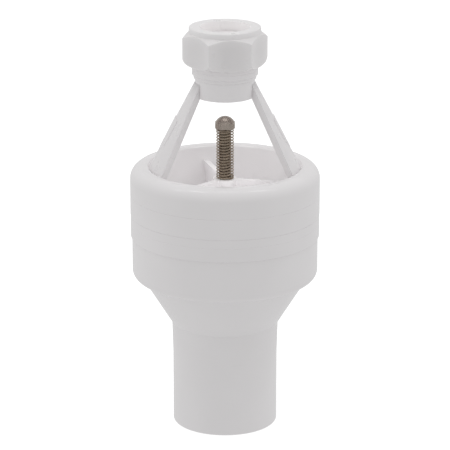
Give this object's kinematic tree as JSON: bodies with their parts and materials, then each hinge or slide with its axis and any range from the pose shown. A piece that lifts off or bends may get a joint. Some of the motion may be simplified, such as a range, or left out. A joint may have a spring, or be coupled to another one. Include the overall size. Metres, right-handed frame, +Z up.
{
  "type": "air-break discharge funnel",
  "caption": "Plastic air-break discharge funnel: a hexagonal compression inlet on struts above an open bowl, with a spring-loaded check valve on a stem and a plain outlet spigot.",
  "frame": {"origin": "centre of the outlet spigot's lower rim, on which the part stands", "axes": "+Z up along the common axis of spigot, bowl, stem and inlet; the two struts stand on the X axis and the open windows face -Y and +Y"},
  "size_m": [0.0774, 0.0774, 0.1676],
  "materials": {
    "natural_plastic": "satin, slightly translucent natural polypropylene",
    "bush_plastic": "satin bearing plastic",
    "seal_rubber": "matt black rubber",
    "stainless": "drawn stainless steel, warm grey",
    "pale_seal": "satin natural silicone rubber"
  },
  "bodies": {
    "frame": {"lower_housing": "natural_plastic", "housing_seal": "seal_rubber", "seat_plate": "natural_plastic", "plate_seal": "seal_rubber", "spacer_ring": "natural_plastic", "lock_ring": "natural_plastic", "bowl": "natural_plastic", "spider": "natural_plastic", "guide_bush": "bush_plastic", "strut_left": "natural_plastic", "strut_right": "natural_plastic", "inlet_body": "natural_plastic", "pipe_seal": "pale_seal", "valve_spring": "stainless"},
    "valve": {"stem": "stainless", "cap_nut": "stainless", "upper_nut": "stainless", "upper_washer": "stainless", "valve_seal": "seal_rubber", "valve_disc": "natural_plastic", "lower_washer": "stainless", "lower_nut": "stainless"},
    "nut_lift": {"slip_ring": "natural_plastic"},
    "nut_turn": {"inlet_nut": "natural_plastic"}
  },
  "joints": [
    {"name": "valve_slide", "type": "slide", "parent": "frame", "child": "valve", "axis": [0, 0, -1], "range_m": [0, 0.008], "stiffness_N_per_m": 110, "springref_m": -0.008, "deforming": ["valve_spring"]},
    {"name": "nut_lift", "type": "slide", "parent": "frame", "child": "nut_lift", "axis": [0, 0, 1], "range_m": [0, 0.00726]},
    {"name": "nut_turn", "type": "hinge", "parent": "nut_lift", "child": "nut_turn", "pos_m": [0, 0, 0.16], "axis": [0, 0, 1], "range_deg": [0, 1440]}
  ],
  "couplings": [
    {"joint": "nut_turn", "follows": "nut_lift", "rad_per_m": 3463.7}
  ]
}
